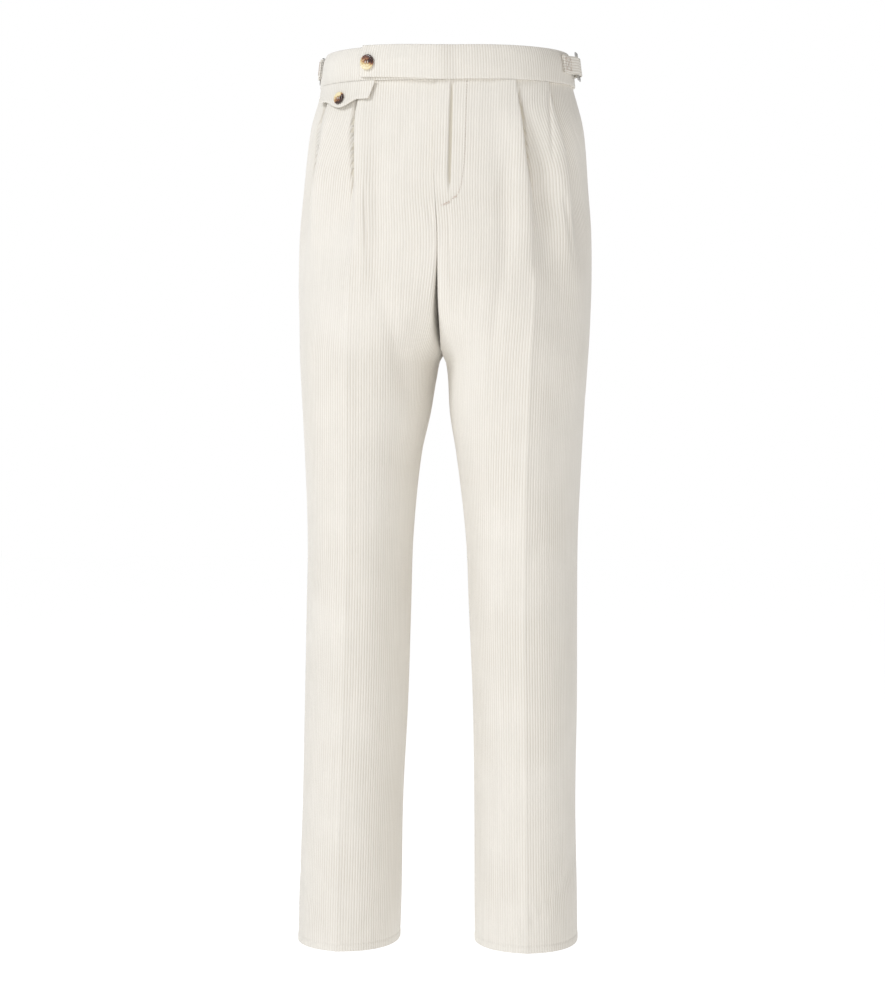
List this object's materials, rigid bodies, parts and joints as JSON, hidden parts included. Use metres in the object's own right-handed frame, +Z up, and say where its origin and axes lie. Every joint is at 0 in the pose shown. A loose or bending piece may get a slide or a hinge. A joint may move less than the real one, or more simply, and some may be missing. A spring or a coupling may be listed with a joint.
{
  "type": "corduroy trousers",
  "caption": "Pleated corduroy trousers, filled out as if worn, with a long buttoned waistband end, a coin pocket flap, pressed creases and slide buckles at the sides.",
  "frame": {"origin": "the middle of the waist, halfway up the waistband at the centre front", "axes": "+Z up towards the waist, the front faces -Y, the wearer's left is +X"},
  "size_m": [0.3576, 0.2615, 1.0847],
  "materials": {
    "corduroy": "ivory cotton corduroy with upright wales",
    "tortoiseshell": "polished tortoiseshell resin",
    "nickel": "brushed nickel plate"
  },
  "bodies": {
    "root": {"front_right": "corduroy", "front_left": "corduroy", "back_right": "corduroy", "back_left": "corduroy", "waistband_right": "corduroy", "waistband_left": "corduroy", "coin_pocket_flap": "corduroy", "waist_button": "tortoiseshell", "pocket_button": "tortoiseshell", "adjuster_anchor_right": "corduroy", "adjuster_buckle_right": "nickel", "adjuster_strap_right": "corduroy", "adjuster_anchor_left": "corduroy", "adjuster_buckle_left": "nickel", "adjuster_strap_left": "corduroy"}
  },
  "joints": []
}
